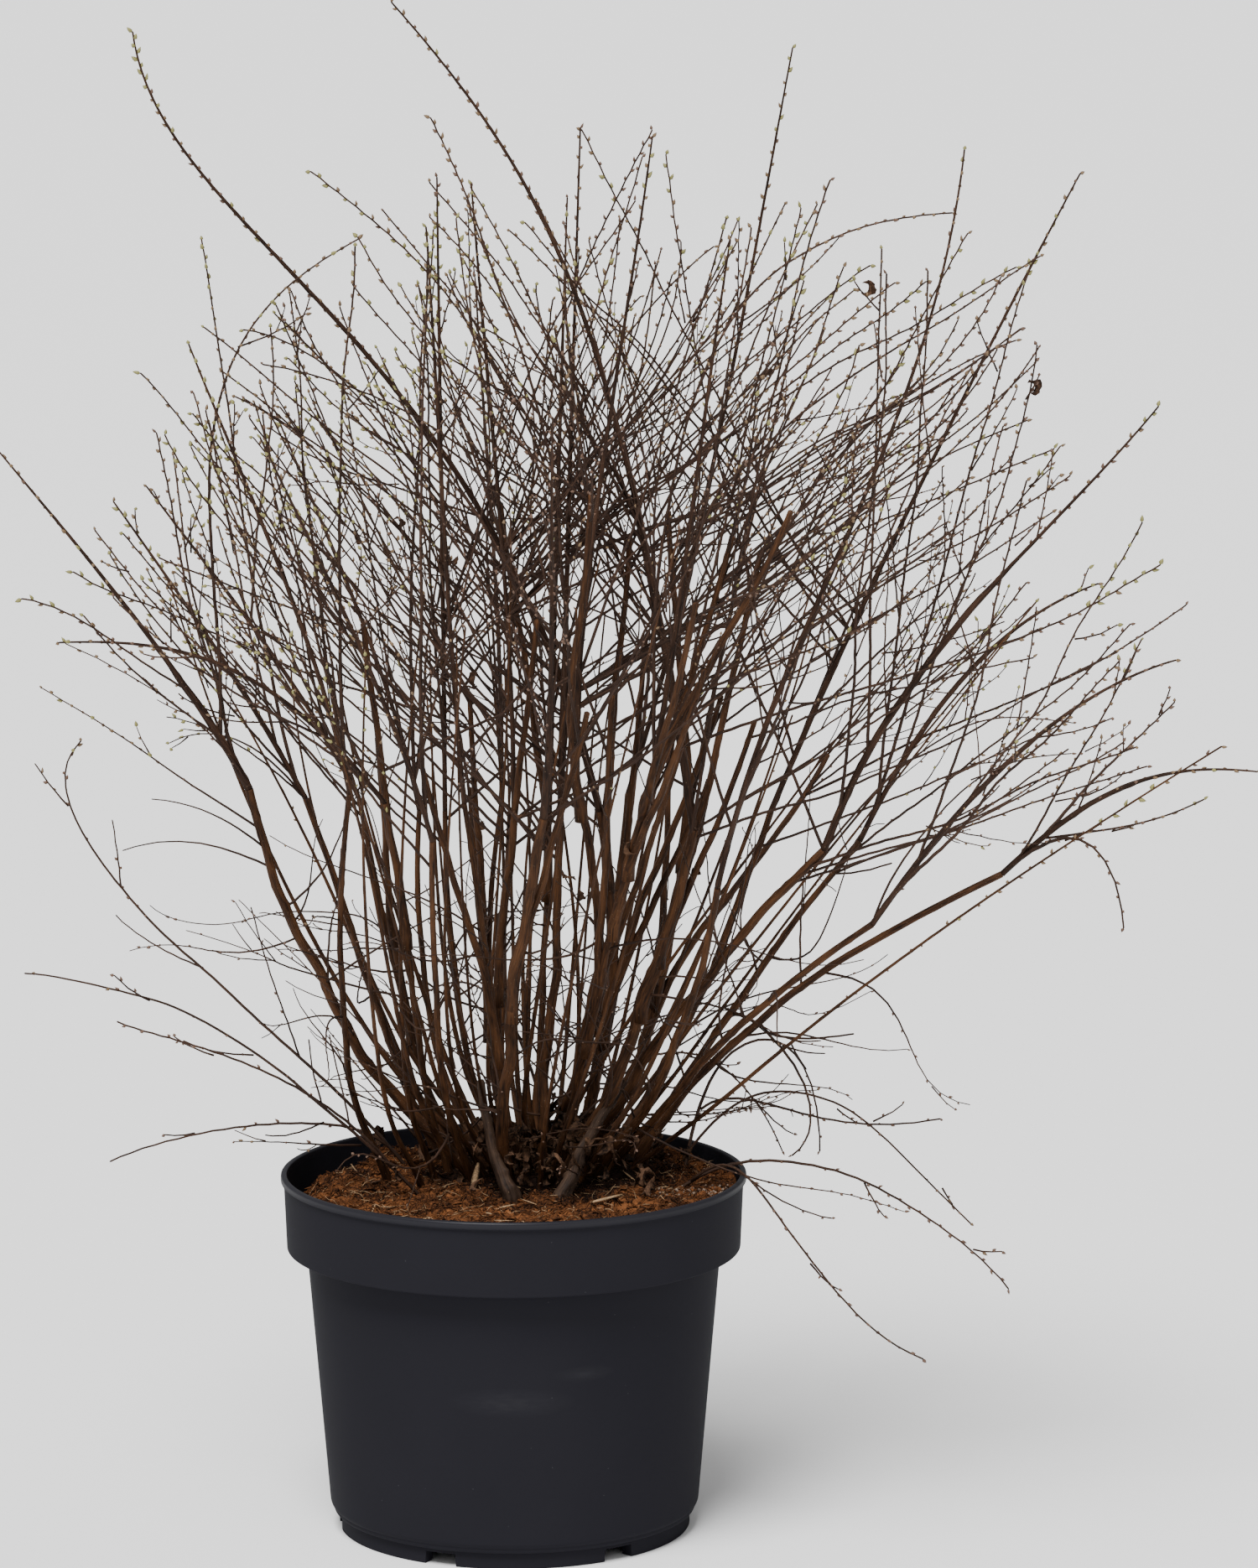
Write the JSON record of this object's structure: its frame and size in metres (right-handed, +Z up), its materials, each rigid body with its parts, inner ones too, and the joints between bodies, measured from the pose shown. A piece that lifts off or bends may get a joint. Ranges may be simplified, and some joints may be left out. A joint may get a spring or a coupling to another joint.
{
  "type": "potted grefsheim spirea",
  "caption": "Leafless arching multi-stem shrub in late winter, with fine budded twigs, standing in peat in a round black nursery container with a stepped collar and a notched foot ring.",
  "frame": {"origin": "middle of the pot's underside, on the surface that the pot stands on", "axes": "+Z up, -Y towards the front of the plant as pictured, +X to its right"},
  "size_m": [1.0637, 0.871, 1.3084],
  "materials": {
    "pot": "matte black moulded plastic, faintly scuffed",
    "peat": "loose fibrous peat and bark chips",
    "bark": "thin warm brown bark with fine lengthwise cracks",
    "twigs": "smooth dark brown young bark"
  },
  "bodies": {
    "root": {"pot": "pot", "peat": "peat", "cane_left_1": "bark", "cane_left_2": "bark", "cane_left_3": "bark", "cane_left_4": "bark", "cane_left_5": "bark", "cane_left_6": "bark", "cane_left_7": "bark", "cane_left_8": "bark", "cane_middle_1": "bark", "cane_middle_2": "bark", "cane_middle_3": "bark", "cane_middle_4": "bark", "cane_middle_5": "bark", "cane_middle_6": "bark", "cane_middle_7": "bark", "cane_middle_8": "bark", "cane_right_1": "bark", "cane_right_2": "bark", "cane_right_3": "bark", "cane_right_4": "bark", "cane_right_5": "bark", "cane_right_6": "bark", "cane_right_7": "bark", "cane_right_8": "bark", "cane_right_9": "bark", "cane_right_10": "bark", "twigs_left_1": "twigs", "twigs_left_2": "twigs", "twigs_left_3": "twigs", "twigs_left_4": "twigs", "twigs_left_5": "twigs", "twigs_left_6": "twigs", "twigs_left_7": "twigs", "twigs_left_8": "twigs", "twigs_middle_1": "twigs", "twigs_middle_2": "twigs", "twigs_middle_3": "twigs", "twigs_middle_4": "twigs", "twigs_middle_5": "twigs", "twigs_middle_6": "twigs", "twigs_middle_7": "twigs", "twigs_middle_8": "twigs", "twigs_right_1": "twigs", "twigs_right_2": "twigs", "twigs_right_3": "twigs", "twigs_right_4": "twigs", "twigs_right_5": "twigs", "twigs_right_6": "twigs", "twigs_right_7": "twigs", "twigs_right_8": "twigs", "twigs_right_9": "twigs", "twigs_right_10": "twigs", "twigs_low_left_1": "twigs", "twigs_low_left_2": "twigs", "twigs_low_right_1": "twigs", "twigs_low_right_2": "twigs", "twigs_low_right_3": "twigs", "twigs_low_back_1": "twigs"}
  },
  "joints": []
}
